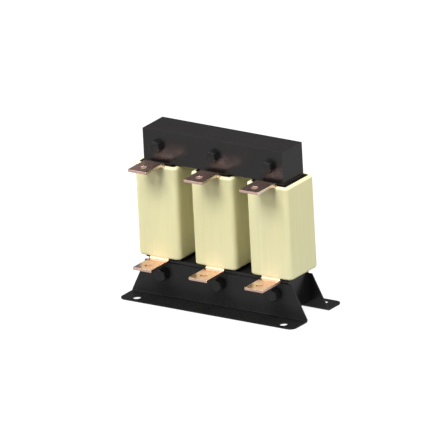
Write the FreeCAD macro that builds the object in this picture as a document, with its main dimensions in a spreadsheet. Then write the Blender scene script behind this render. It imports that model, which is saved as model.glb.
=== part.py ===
import FreeCAD, Part
import math
import os
import Sketcher

# Open three-phase line reactor (filter choke) on two folded feet.
# X runs along the three coils, Y from the terminal side (front, -Y) to the rear, Z up.
# The origin lies in the mounting plane, under the middle limb of the core.
# All sizes are in millimetres.

doc = FreeCAD.newDocument("LineReactor")

SIZES = {
    # Laminated core: two yokes and three limbs with thin air-gap spacers
    "limb_width": 38.0,
    "window_width": 38.0,
    "limb_height": 114.0,
    "gap_spacer_thickness": 1.0,
    "yoke_height": 38.0,
    "core_depth": 40.8,
    "core_underside": 8.0,
    # Coil formers, slipped over the limbs
    "former_clearance": 0.6,
    "former_wall": 2.0,
    "former_corner_radius": 2.0,
    "former_top_clearance": 1.6,
    # Coils: copper foil winding inside an insulating wrap
    "coil_side_build": 6.5,
    "coil_front_build": 5.35,
    "coil_bottom_gap": 3.1,
    "coil_top_gap": 2.0,
    "coil_corner_radius": 6.0,
    "coil_end_round": 2.5,
    "wrap_wall": 0.8,
    "wrap_end": 3.0,
    # Copper terminal bars, bent once
    "terminal_width": 25.0,
    "terminal_thickness": 3.0,
    "terminal_bend_radius": 2.0,
    "terminal_reach": 35.2,
    "terminal_gap": 2.0,
    "terminal_inset": 25.0,
    "terminal_fit": 0.2,
    "terminal_hole": 8.4,
    "terminal_hole_setback": 13.0,
    "terminal_tip_radius": 1.0,
    # Folded foot brackets
    "bracket_thickness": 1.5,
    "bracket_bend_radius": 1.5,
    "bracket_foot_length": 238.0,
    "bracket_top_length": 198.5,
    "bracket_height": 42.0,
    "flange_width": 30.6,
    "flange_corner_radius": 8.0,
    "slot_pitch": 200.0,
    "slot_setback": 9.8,
    "slot_width": 9.0,
    "slot_length": 10.0,
    # Clamping bolts, nuts, washers and insulating sleeves
    "bolt_diameter": 8.0,
    "bolt_clearance": 0.4,
    "bracket_hole_clearance": 1.0,
    "sleeve_wall": 1.0,
    "sleeve_clearance": 0.4,
    "hex_flats": 13.0,
    "head_height": 5.3,
    "nut_height": 6.5,
    "nut_play": 0.2,
    "washer_outer": 16.0,
    "washer_thickness": 1.6,
    "bolt_projection": 4.0,
}

sheet = doc.addObject("Spreadsheet::Sheet", "Sizes")
for row, (alias, value) in enumerate(SIZES.items(), start=1):
    sheet.set(f"A{row}", alias)
    sheet.set(f"B{row}", str(value))
    sheet.setAlias(f"B{row}", alias)
doc.recompute()

# Places worked out from the driving sizes, as expressions
LIMB_PITCH = "(Sizes.limb_width + Sizes.window_width)"
CORE_LENGTH = "(3 * Sizes.limb_width + 2 * Sizes.window_width)"
HALF_DEPTH = "(Sizes.core_depth / 2)"
WINDOW_BOTTOM = "(Sizes.core_underside + Sizes.yoke_height)"
WINDOW_HEIGHT = "(Sizes.limb_height + 2 * Sizes.gap_spacer_thickness)"
WINDOW_TOP = f"({WINDOW_BOTTOM} + {WINDOW_HEIGHT})"
LOWER_BOLT_HEIGHT = "(Sizes.core_underside + Sizes.yoke_height / 2)"
UPPER_BOLT_HEIGHT = f"({WINDOW_TOP} + Sizes.yoke_height / 2)"

FORMER_BORE_WIDTH = "(Sizes.limb_width + 2 * Sizes.former_clearance)"
FORMER_BORE_DEPTH = "(Sizes.core_depth + 2 * Sizes.former_clearance)"
FORMER_WIDTH = f"({FORMER_BORE_WIDTH} + 2 * Sizes.former_wall)"
FORMER_DEPTH = f"({FORMER_BORE_DEPTH} + 2 * Sizes.former_wall)"

COIL_BOTTOM = f"({WINDOW_BOTTOM} + Sizes.coil_bottom_gap)"
COIL_HEIGHT = f"({WINDOW_HEIGHT} - Sizes.coil_bottom_gap - Sizes.coil_top_gap)"
COIL_TOP = f"({COIL_BOTTOM} + {COIL_HEIGHT})"
COIL_WIDTH = f"({FORMER_WIDTH} + 2 * Sizes.coil_side_build)"
COIL_DEPTH = f"({FORMER_DEPTH} + 2 * Sizes.coil_front_build)"
WINDING_WIDTH = f"({COIL_WIDTH} - 2 * Sizes.wrap_wall)"
WINDING_DEPTH = f"({COIL_DEPTH} - 2 * Sizes.wrap_wall)"
WINDING_HEIGHT = f"({COIL_HEIGHT} - 2 * Sizes.wrap_end)"
WINDING_CORNER = "(Sizes.coil_corner_radius - Sizes.wrap_wall)"

LEG_FRONT = f"(-{WINDING_DEPTH} / 2)"
LEG_BACK = f"({LEG_FRONT} + Sizes.terminal_thickness)"
TERMINAL_TIP = f"(-{COIL_DEPTH} / 2 - Sizes.terminal_reach)"
LEG_SLOT_WIDTH = "(Sizes.terminal_width + 2 * Sizes.terminal_fit)"
LEG_SLOT_BACK = f"({LEG_BACK} + Sizes.terminal_fit)"

SLEEVE_BORE = "(Sizes.bolt_diameter + Sizes.bolt_clearance)"
SLEEVE_OUTER = f"({SLEEVE_BORE} + 2 * Sizes.sleeve_wall)"
CORE_HOLE = f"({SLEEVE_OUTER} + Sizes.sleeve_clearance)"
BRACKET_HOLE = "(Sizes.bolt_diameter + Sizes.bracket_hole_clearance)"

# Coils and bolts stand at the three limbs: name and number of pitches from the middle
LIMBS = (("left", -1), ("center", 0), ("right", 1))
X_AXIS = FreeCAD.Vector(1, 0, 0)
Y_AXIS = FreeCAD.Vector(0, 1, 0)
Z_AXIS = FreeCAD.Vector(0, 0, 1)
SAME_PLACE = 1e-6
# Where a sketch is drawn before its dimensions take hold
DRAWN_REACH = 20
DRAWN_TURN = math.radians(10)
DRAWN_RADIUS = 5

sub_parts = []


def new_body(label):
    """Start one sub-part as a body."""
    body = doc.addObject("PartDesign::Body", label)
    body.Label = label
    sub_parts.append(body)
    return body


def origin_feature(body, role):
    """The plane or axis of the body's own origin that has this role."""
    return next(item for item in body.Origin.OriginFeatures if item.Role == role)


def new_sketch(body, role, offset="0"):
    """Attach a sketch to an origin plane, moved along its normal by an expression."""
    sketch = body.newObject("Sketcher::SketchObject", "Profile")
    sketch.AttachmentSupport = (origin_feature(body, role), [""])
    sketch.MapMode = "FlatFace"
    sketch.setExpression("AttachmentOffset.Base.z", offset)
    return sketch


def bind(sketch, constraint, expression):
    """Add a dimension to the sketch and tie it to an expression."""
    index = sketch.addConstraint(constraint)
    sketch.setExpression(f"Constraints[{index}]", expression)


def place_point(sketch, geometry, point, at, x, y):
    """Hold one point of the sketch, drawn at `at`, at two expressions."""
    bind(sketch, Sketcher.Constraint("DistanceX", -1, 1, geometry, point, at.x), x)
    bind(sketch, Sketcher.Constraint("DistanceY", -1, 1, geometry, point, at.y), y)


def drawn_point(turn, reach=DRAWN_REACH):
    """Point drawn at an angle about the sketch's origin."""
    return FreeCAD.Vector(reach * math.cos(turn), reach * math.sin(turn), 0)


def outline(sketch, corners):
    """Closed straight-sided outline; each corner is a pair of expressions."""
    count = len(corners)
    first = sketch.GeometryCount
    turns = [DRAWN_TURN + 2 * math.pi * number / count for number in range(count)]
    drawn = [drawn_point(turn) for turn in turns]
    for number in range(count):
        following = (number + 1) % count
        sketch.addGeometry(Part.LineSegment(drawn[number], drawn[following]))
    for number in range(count):
        following = (number + 1) % count
        joint = Sketcher.Constraint("Coincident", first + number, 2, first + following, 1)
        sketch.addConstraint(joint)
    for number, (x, y) in enumerate(corners):
        place_point(sketch, first + number, 1, drawn[number], x, y)


def rectangle(sketch, left, right, bottom, top):
    """Rectangle between four expressions."""
    outline(sketch, [(left, bottom), (right, bottom), (right, top), (left, top)])


def circle(sketch, diameter, x="0", y="0"):
    """Circle with its diameter and centre from expressions."""
    drawn = drawn_point(DRAWN_TURN)
    index = sketch.addGeometry(Part.Circle(drawn, Z_AXIS, DRAWN_RADIUS))
    place_point(sketch, index, 3, drawn, x, y)
    bind(sketch, Sketcher.Constraint("Diameter", index, 2 * DRAWN_RADIUS), diameter)


def arc_chain(sketch, centres, radius):
    """Arcs of one radius about the given centres, joined by tangent lines into one outline."""
    count = len(centres)
    step = 2 * math.pi / count
    first = sketch.GeometryCount
    drawn = [drawn_point((number + 0.5) * step) for number in range(count)]
    for number in range(count):
        ring = Part.Circle(drawn[number], Z_AXIS, DRAWN_RADIUS)
        sketch.addGeometry(Part.ArcOfCircle(ring, number * step, (number + 1) * step))
    for number in range(count):
        side = drawn_point((number + 1) * step, DRAWN_RADIUS)
        following = (number + 1) % count
        sketch.addGeometry(Part.LineSegment(drawn[number] + side, drawn[following] + side))
    for number in range(count):
        arc = first + number
        line = first + count + number
        next_arc = first + (number + 1) % count
        sketch.addConstraint(Sketcher.Constraint("Tangent", arc, 2, line, 1))
        sketch.addConstraint(Sketcher.Constraint("Tangent", line, 2, next_arc, 1))
    for number, (x, y) in enumerate(centres):
        place_point(sketch, first + number, 3, drawn[number], x, y)
        bind(sketch, Sketcher.Constraint("Radius", first + number, DRAWN_RADIUS), radius)


def rounded_rectangle(sketch, width, depth, radius):
    """Rectangle about the sketch's origin with rounded corners."""
    x = f"({width} / 2 - {radius})"
    y = f"({depth} / 2 - {radius})"
    corners = [(x, y), (f"-{x}", y), (f"-{x}", f"-{y}"), (x, f"-{y}")]
    arc_chain(sketch, corners, radius)


def slot(sketch, width, length, x, y):
    """Slot along Y: two half circles and two straight sides."""
    half_run = f"({length} - {width}) / 2"
    ends = [(x, f"{y} + {half_run}"), (x, f"{y} - {half_run}")]
    arc_chain(sketch, ends, f"{width} / 2")


def pad(body, sketch, length, symmetric=False):
    """Raise the sketch along its normal, or to both sides."""
    feature = body.newObject("PartDesign::Pad", "Pad")
    feature.Profile = sketch
    feature.SideType = "Symmetric" if symmetric else "One side"
    feature.setExpression("Length", length)
    doc.recompute()
    return feature


def pocket(body, sketch, depth=None):
    """Cut the sketch along its normal to a depth, or right through on both sides."""
    volume = body.Shape.Volume
    feature = body.newObject("PartDesign::Pocket", "Pocket")
    feature.Profile = sketch
    if depth is None:
        feature.Type = "ThroughAll"
        feature.SideType = "Symmetric"
    else:
        feature.Reversed = True
        feature.setExpression("Length", depth)
    doc.recompute()
    if body.Shape.Volume >= volume:
        raise RuntimeError(f"a pocket of {body.Label} cuts nothing")
    return feature


def round_edges(body, base, radius, chosen):
    """Round the edges of the last feature that pass a test."""
    edges = enumerate(base.Shape.Edges, start=1)
    names = [f"Edge{number}" for number, edge in edges if chosen(edge)]
    feature = body.newObject("PartDesign::Fillet", "Rounding")
    feature.Base = (base, names)
    feature.setExpression("Radius", radius)
    doc.recompute()
    return feature


def middle_of(edge):
    """Centre of the edge's box."""
    return edge.BoundBox.Center


def runs_along(edge, axis):
    """Whether the edge is straight and parallel to the axis."""
    if edge.Curve.TypeId != "Part::GeomLine":
        return False
    return edge.Curve.Direction.cross(axis).Length < SAME_PLACE


def move(body, x="0", y="0", z="0"):
    """Tie the body's place to three expressions."""
    body.setExpression("Placement.Base.x", x)
    body.setExpression("Placement.Base.y", y)
    body.setExpression("Placement.Base.z", z)


def turn_body(body, axis, degrees):
    """Turn the body about an axis through its own origin."""
    body.Placement = FreeCAD.Placement(FreeCAD.Vector(), FreeCAD.Rotation(axis, degrees))


def limb_place(step):
    """Expression for the X place of a limb."""
    return f"{step} * {LIMB_PITCH}"


# Core

def make_yoke(label, bottom):
    """Stack of straight yoke sheets with a bolt hole over each limb."""
    body = new_body(label)
    profile = new_sketch(body, "XZ_Plane")
    half = f"{CORE_LENGTH} / 2"
    rectangle(profile, f"-{half}", half, "0", "Sizes.yoke_height")
    for _, step in LIMBS:
        circle(profile, CORE_HOLE, limb_place(step), "Sizes.yoke_height / 2")
    pad(body, profile, "Sizes.core_depth", symmetric=True)
    move(body, z=bottom)


def make_block(label, height, x, z):
    """Plain block of the limb's section: a limb stack or an air-gap spacer."""
    block = doc.addObject("Part::Box", label)
    block.Label = label
    block.setExpression("Length", "Sizes.limb_width")
    block.setExpression("Width", "Sizes.core_depth")
    block.setExpression("Height", height)
    move(block, f"{x} - Sizes.limb_width / 2", f"-{HALF_DEPTH}", z)
    sub_parts.append(block)


# Coils

def make_former(side, x):
    """Insulating tube round the limb, from yoke to yoke."""
    body = new_body(f"coil_former_{side}")
    profile = new_sketch(body, "XY_Plane")
    rounded_rectangle(profile, FORMER_WIDTH, FORMER_DEPTH, "Sizes.former_corner_radius")
    rectangle(
        profile,
        f"-{FORMER_BORE_WIDTH} / 2",
        f"{FORMER_BORE_WIDTH} / 2",
        f"-{FORMER_BORE_DEPTH} / 2",
        f"{FORMER_BORE_DEPTH} / 2",
    )
    pad(body, profile, f"{WINDOW_HEIGHT} - Sizes.former_top_clearance")
    move(body, x, z=WINDOW_BOTTOM)


def cut_former_bore(body):
    """Open the coil for its former."""
    bore = new_sketch(body, "XY_Plane")
    rectangle(
        bore,
        f"-{FORMER_WIDTH} / 2",
        f"{FORMER_WIDTH} / 2",
        f"-{FORMER_DEPTH} / 2",
        f"{FORMER_DEPTH} / 2",
    )
    pocket(body, bore)


def cut_leg_slot(body, front, start, depth):
    """Cut the room of one terminal leg, from a height upwards."""
    room = new_sketch(body, "XY_Plane", start)
    half = f"{LEG_SLOT_WIDTH} / 2"
    rectangle(room, f"-{half}", half, front, LEG_SLOT_BACK)
    pocket(body, room, depth)


def make_winding(side, x):
    """Foil winding, with a seat for each terminal leg at the front."""
    body = new_body(f"winding_{side}")
    profile = new_sketch(body, "XY_Plane")
    rounded_rectangle(profile, WINDING_WIDTH, WINDING_DEPTH, WINDING_CORNER)
    pad(body, profile, WINDING_HEIGHT)
    cut_former_bore(body)
    in_front = f"-{WINDING_DEPTH} / 2 - Sizes.terminal_thickness"
    seat = "(Sizes.terminal_inset - Sizes.wrap_end + Sizes.terminal_fit)"
    cut_leg_slot(body, in_front, "0", seat)
    cut_leg_slot(body, in_front, f"{WINDING_HEIGHT} - {seat}", seat)
    move(body, x, z=f"{COIL_BOTTOM} + Sizes.wrap_end")


def make_wrap(side, x):
    """Insulating wrap that closes the winding on all sides and rounds its ends."""
    body = new_body(f"coil_wrap_{side}")
    profile = new_sketch(body, "XY_Plane")
    rounded_rectangle(profile, COIL_WIDTH, COIL_DEPTH, "Sizes.coil_corner_radius")
    block = pad(body, profile, COIL_HEIGHT)
    round_edges(body, block, "Sizes.coil_end_round", lambda edge: edge.BoundBox.ZLength < 1)
    cavity = new_sketch(body, "XY_Plane", "Sizes.wrap_end")
    rounded_rectangle(cavity, WINDING_WIDTH, WINDING_DEPTH, WINDING_CORNER)
    pocket(body, cavity, WINDING_HEIGHT)
    cut_former_bore(body)
    cut_leg_slot(body, LEG_FRONT, "0", "Sizes.wrap_end")
    cut_leg_slot(body, LEG_FRONT, f"{COIL_HEIGHT} - Sizes.wrap_end", "Sizes.wrap_end")
    move(body, x, z=COIL_BOTTOM)


# Terminals

def make_terminal(label, x, coil_end, upside_down):
    """Copper bar that leaves the coil's end and bends forward to a drilled tongue."""
    body = new_body(label)
    profile = new_sketch(body, "YZ_Plane")
    tongue_near = "Sizes.terminal_gap"
    tongue_far = "Sizes.terminal_gap + Sizes.terminal_thickness"
    corners = [
        (LEG_BACK, "-Sizes.terminal_inset"),
        (LEG_BACK, tongue_far),
        (TERMINAL_TIP, tongue_far),
        (TERMINAL_TIP, tongue_near),
        (LEG_FRONT, tongue_near),
        (LEG_FRONT, "-Sizes.terminal_inset"),
    ]
    outline(profile, corners)
    bar = pad(body, profile, "Sizes.terminal_width", symmetric=True)

    height = sheet.terminal_gap
    tip = bar.Shape.BoundBox.YMin

    def at_inner_bend(edge):
        middle = middle_of(edge)
        in_tongue = abs(middle.z - height) < SAME_PLACE
        return runs_along(edge, X_AXIS) and in_tongue and middle.y > tip + 1

    def at_outer_bend(edge):
        middle = middle_of(edge)
        above = middle.z > height + 1
        return runs_along(edge, X_AXIS) and above and middle.y > tip + 1

    def at_tip(edge):
        return runs_along(edge, Z_AXIS) and middle_of(edge).y < tip + 1

    inner = round_edges(body, bar, "Sizes.terminal_bend_radius", at_inner_bend)
    outer_radius = "Sizes.terminal_bend_radius + Sizes.terminal_thickness"
    outer = round_edges(body, inner, outer_radius, at_outer_bend)
    round_edges(body, outer, "Sizes.terminal_tip_radius", at_tip)
    hole = new_sketch(body, "XY_Plane")
    circle(hole, "Sizes.terminal_hole", "0", f"{TERMINAL_TIP} + Sizes.terminal_hole_setback")
    pocket(body, hole)
    if upside_down:
        turn_body(body, Y_AXIS, 180)
    move(body, x, z=coil_end)


# Foot brackets

def make_bracket(label, turned):
    """Folded foot: an upright web on the core's face and a flange with two slots."""
    body = new_body(label)
    profile = new_sketch(body, "YZ_Plane")
    web_front = f"(-{HALF_DEPTH} - Sizes.bracket_thickness)"
    flange_edge = f"(-{HALF_DEPTH} - Sizes.flange_width)"
    corners = [
        (f"-{HALF_DEPTH}", "0"),
        (f"-{HALF_DEPTH}", "Sizes.bracket_height"),
        (web_front, "Sizes.bracket_height"),
        (web_front, "Sizes.bracket_thickness"),
        (flange_edge, "Sizes.bracket_thickness"),
        (flange_edge, "0"),
    ]
    outline(profile, corners)
    fold = pad(body, profile, "Sizes.bracket_foot_length", symmetric=True)

    half_depth = sheet.core_depth / 2
    thickness = sheet.bracket_thickness

    def at_inner_fold(edge):
        middle = middle_of(edge)
        off_web = abs(middle.y + half_depth + thickness)
        off_flange = abs(middle.z - thickness)
        return runs_along(edge, X_AXIS) and max(off_web, off_flange) < SAME_PLACE

    def at_outer_fold(edge):
        middle = middle_of(edge)
        off_corner = max(abs(middle.y + half_depth), abs(middle.z))
        return runs_along(edge, X_AXIS) and off_corner < SAME_PLACE

    def at_flange_corner(edge):
        return runs_along(edge, Z_AXIS) and middle_of(edge).y < -half_depth - sheet.flange_width + 1

    inner = round_edges(body, fold, "Sizes.bracket_bend_radius", at_inner_fold)
    outer_radius = "Sizes.bracket_bend_radius + Sizes.bracket_thickness"
    outer = round_edges(body, inner, outer_radius, at_outer_fold)
    round_edges(body, outer, "Sizes.flange_corner_radius", at_flange_corner)

    trim = new_sketch(body, "XZ_Plane")
    fold_line = "(Sizes.bracket_bend_radius + Sizes.bracket_thickness)"
    for sign in ("-", ""):
        far = f"{sign}Sizes.bracket_foot_length"
        near = f"{sign}Sizes.bracket_top_length / 2"
        height = "Sizes.bracket_height"
        edge_point = f"{sign}Sizes.bracket_foot_length / 2"
        outline(trim, [(edge_point, fold_line), (far, fold_line), (far, height), (near, height)])
    pocket(body, trim)

    holes = new_sketch(body, "XZ_Plane")
    for _, step in LIMBS:
        circle(holes, BRACKET_HOLE, limb_place(step), LOWER_BOLT_HEIGHT)
    pocket(body, holes)

    slots = new_sketch(body, "XY_Plane")
    slot_line = f"{flange_edge} + Sizes.slot_setback"
    for sign in ("-", ""):
        slot(slots, "Sizes.slot_width", "Sizes.slot_length", f"{sign}Sizes.slot_pitch / 2", slot_line)
    pocket(body, slots)
    if turned:
        turn_body(body, Z_AXIS, 180)


# Fasteners: each lies along its own Z, which points out of the core's face

def hexagon(sketch):
    """Hexagon with the width across flats of the bolts and nuts."""
    across_corners = "Sizes.hex_flats / sqrt(3)"
    corners = []
    for number in range(6):
        turn = f"{60 * number + 10} deg"
        corners.append((f"{across_corners} * cos({turn})", f"{across_corners} * sin({turn})"))
    outline(sketch, corners)


def bevel_corners(body, height):
    """Turn off the hexagon's corners at its outer end, 30 degrees to its face."""
    cut = new_sketch(body, "XZ_Plane")
    volume = body.Shape.Volume
    seat = "Sizes.hex_flats * 0.475"
    far = "Sizes.hex_flats * 0.65"
    drop = "Sizes.hex_flats * 0.175 * tan(30 deg)"
    outline(cut, [(seat, height), (far, height), (far, f"{height} - {drop}")])
    groove = body.newObject("PartDesign::Groove", "Bevel")
    groove.Profile = cut
    groove.ReferenceAxis = (origin_feature(body, "Z_Axis"), [""])
    groove.Angle = 360
    doc.recompute()
    if body.Shape.Volume >= volume:
        raise RuntimeError(f"a bevel of {body.Label} cuts nothing")


def place_fastener(body, x, out_from_core, z, rear):
    """Stand a fastener on the front or rear of the core, a distance out from its face."""
    turn_body(body, X_AXIS, -90 if rear else 90)
    sign = "" if rear else "-"
    move(body, x, f"{sign}({HALF_DEPTH} + {out_from_core})", z)


def make_bolt(label, x, z, clamped):
    """Hexagon bolt from the front through the core and what is clamped on its faces."""
    body = new_body(label)
    head = new_sketch(body, "XY_Plane")
    hexagon(head)
    pad(body, head, "Sizes.head_height")
    bevel_corners(body, "Sizes.head_height")
    shank = new_sketch(body, "XY_Plane")
    circle(shank, "Sizes.bolt_diameter")
    rod = body.newObject("PartDesign::Pad", "Shank")
    rod.Profile = shank
    rod.Reversed = True
    grip = f"Sizes.core_depth + 2 * ({clamped} + Sizes.washer_thickness)"
    rod.setExpression("Length", f"{grip} + Sizes.nut_height + Sizes.bolt_projection")
    doc.recompute()
    place_fastener(body, x, f"{clamped} + Sizes.washer_thickness", z, rear=False)


def make_nut(label, x, z, clamped):
    """Hexagon nut on the rear end of a bolt, bevelled on its outer face."""
    body = new_body(label)
    profile = new_sketch(body, "XY_Plane")
    hexagon(profile)
    circle(profile, "Sizes.bolt_diameter + Sizes.nut_play")
    pad(body, profile, "Sizes.nut_height")
    bevel_corners(body, "Sizes.nut_height")
    place_fastener(body, x, f"{clamped} + Sizes.washer_thickness", z, rear=True)


def make_ring(label, outer, inner, length):
    """Flat ring or tube standing on its own origin."""
    body = new_body(label)
    profile = new_sketch(body, "XY_Plane")
    circle(profile, outer)
    circle(profile, inner)
    pad(body, profile, length)
    return body


def make_bolt_set(level, side, x, z, clamped):
    """Bolt, nut, two washers and the insulating sleeve in the core."""
    make_bolt(f"{level}_bolt_{side}", x, z, clamped)
    make_nut(f"{level}_nut_{side}", x, z, clamped)
    for face in ("front", "rear"):
        label = f"{level}_{face}_washer_{side}"
        washer = make_ring(label, "Sizes.washer_outer", SLEEVE_BORE, "Sizes.washer_thickness")
        place_fastener(washer, x, clamped, z, rear=face == "rear")
    sleeve = make_ring(f"{level}_bolt_sleeve_{side}", SLEEVE_OUTER, SLEEVE_BORE, "Sizes.core_depth")
    place_fastener(sleeve, x, "(-Sizes.core_depth)", z, rear=False)


def make_limb_set(side, step):
    """Everything that stands at one limb of the core."""
    x = limb_place(step)
    spacer = "Sizes.gap_spacer_thickness"
    make_block(f"lower_gap_spacer_{side}", spacer, x, WINDOW_BOTTOM)
    make_block(f"core_limb_{side}", "Sizes.limb_height", x, f"{WINDOW_BOTTOM} + {spacer}")
    make_block(f"upper_gap_spacer_{side}", spacer, x, f"{WINDOW_TOP} - {spacer}")
    make_former(side, x)
    make_winding(side, x)
    make_wrap(side, x)
    make_terminal(f"upper_terminal_{side}", x, COIL_TOP, upside_down=False)
    make_terminal(f"lower_terminal_{side}", x, COIL_BOTTOM, upside_down=True)
    make_bolt_set("upper", side, x, UPPER_BOLT_HEIGHT, "0")
    make_bolt_set("lower", side, x, LOWER_BOLT_HEIGHT, "Sizes.bracket_thickness")


make_yoke("lower_yoke", "Sizes.core_underside")
make_yoke("upper_yoke", WINDOW_TOP)
make_bracket("front_foot_bracket", turned=False)
make_bracket("rear_foot_bracket", turned=True)
for side, step in LIMBS:
    make_limb_set(side, step)
doc.recompute()

# Check every object before anything is written
for item in doc.Objects:
    if "Invalid" in item.State or "Error" in item.State:
        raise RuntimeError(f"{item.Label} did not recompute")
for item in sub_parts:
    if item.Shape.isNull() or not item.Shape.isValid():
        raise RuntimeError(f"{item.Label} has no valid shape")

os.makedirs("parts", exist_ok=True)
for item in sub_parts:
    item.Shape.exportStep(f"parts/{item.Label}.step")
print(f"{len(sub_parts)} sub-parts written")
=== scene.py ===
import math
from collections import namedtuple

import bmesh
import bpy
from mathutils import Matrix, Vector


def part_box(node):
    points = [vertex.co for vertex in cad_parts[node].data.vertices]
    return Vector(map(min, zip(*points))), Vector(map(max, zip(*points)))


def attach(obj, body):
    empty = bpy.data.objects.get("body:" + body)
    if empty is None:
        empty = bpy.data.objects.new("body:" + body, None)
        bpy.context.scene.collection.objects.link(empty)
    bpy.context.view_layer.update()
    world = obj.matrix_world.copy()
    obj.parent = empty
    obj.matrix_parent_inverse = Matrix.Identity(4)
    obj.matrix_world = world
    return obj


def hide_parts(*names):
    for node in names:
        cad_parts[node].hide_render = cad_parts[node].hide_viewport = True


bl_info = {
    "name": "Line reactor dresser",
    "version": (1, 0, 0),
    "blender": (4, 5, 0),
    "location": "3D View > Sidebar > Reactor",
    "description": "Models and finishes the pieces of an open three-phase line reactor",
    "category": "Object",
}

# Lengths are in metres, as in the frame: X along the coils, -Y to the terminals, Z up
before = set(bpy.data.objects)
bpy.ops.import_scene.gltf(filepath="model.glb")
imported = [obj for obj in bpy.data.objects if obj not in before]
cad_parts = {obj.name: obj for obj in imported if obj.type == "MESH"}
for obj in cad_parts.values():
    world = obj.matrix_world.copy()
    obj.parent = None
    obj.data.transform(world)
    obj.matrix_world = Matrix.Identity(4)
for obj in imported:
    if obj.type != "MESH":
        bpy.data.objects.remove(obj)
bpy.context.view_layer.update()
MM = 0.001
SIDES = ("left", "center", "right")
LEVELS = ("upper", "lower")
QUARTER_TURN = math.pi / 2
# Lays down what stands on Z: its top then points to the front
LAID = Matrix.Rotation(QUARTER_TURN, 4, "X")

# Places closer than this are the same place
TOUCH = 1e-5
# Least share of an edge's run along an axis, or of a normal's, for it to count as square
PARALLEL = 0.999
SQUARE = 0.9
# Half the length of a tool that goes right through a piece, or through sheet alone, and how
# far a shorter one stands proud
DRILL_REACH = 100 * MM
PUNCH_REACH = 10 * MM
PROUD = 1 * MM

# Room around what passes through a piece, and under a former's collar
SLEEVE_PLAY = 0.2 * MM
LIMB_PLAY = 0.6 * MM
LEG_PLAY = 0.2 * MM
FOOT_BOLT_PLAY = 0.5 * MM
NUT_PLAY = 0.1 * MM
WASHER_PLAY = 0.2 * MM
COLLAR_LIFT = 0.05 * MM

# Hexagon heads and nuts: how they stand, the slope of their turned corners, and the radii
# of the turned end and of the washer face as shares of the width across flats
HEXAGON_TURN = math.radians(10)
CORNER_ANGLE = math.radians(30)
CORNER_RADIUS = 0.475
WASHER_FACE_RADIUS = 0.46
# Depth of a thread as a share of its pitch
THREAD_DEPTH = 0.61

# Height part of the normals of a foot's faces: level over the first, upright under the second
LEVEL_NORMAL = 0.98
UPRIGHT_NORMAL = 0.02
# Share of a slot's half width that its round ends take, a hair short of meeting
SLOT_ROUND = 0.999

# Angles of camera, flag and lamps are in degrees, azimuth from the front towards +X
CAMERA_AZIMUTH = 34.81
CAMERA_ELEVATION = 19.83
CAMERA_ROLL = -2.945
CAMERA_AIM = Vector((-6.31, 0, 93.92)) * MM
CAMERA_DISTANCE = 2.0
IMAGE_WIDTH = 444
PIXELS_PER_METRE = 883.6

# The camera and reflections see a glowing floor in a white room; faces get little of that light
WHITE = (1, 1, 1, 1)
BLACK = (0, 0, 0, 1)
FLOOR_GREY = (0.12, 0.12, 0.12, 1)
FLOOR_RADIUS = 4.0
FLOOR_GLOW = 0.9
ROOM_GLOW = 1.0
ROOM_LIGHT = 0.12
# A grey card that only glossy faces show
FLAG_AZIMUTH = 215
FLAG_ELEVATION = 22
FLAG_DISTANCE = 3.0
FLAG_SIZE = 3.4
FLAG_GLOW = 0.20

# A lamp's level is about how bright a white face turned to it comes out, with 1 as white
Lamp = namedtuple("Lamp", "name azimuth elevation size level")
LAMPS = (
    Lamp("key_lamp", azimuth=-5, elevation=45, size=0.8, level=0.79),
    Lamp("front_lamp", azimuth=-35, elevation=18, size=0.4, level=0.14),
    Lamp("right_lamp", azimuth=82, elevation=15, size=1.0, level=0.46),
    Lamp("top_lamp", azimuth=110, elevation=80, size=1.2, level=1.05),
    Lamp("left_lamp", azimuth=-85, elevation=42, size=1.0, level=0.50),
    Lamp("rear_lamp", azimuth=165, elevation=30, size=0.6, level=0.08),
)
LAMP_AIM = Vector((0, 0, 100)) * MM
LAMP_DISTANCE = 2.0


# What a user may change

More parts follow.
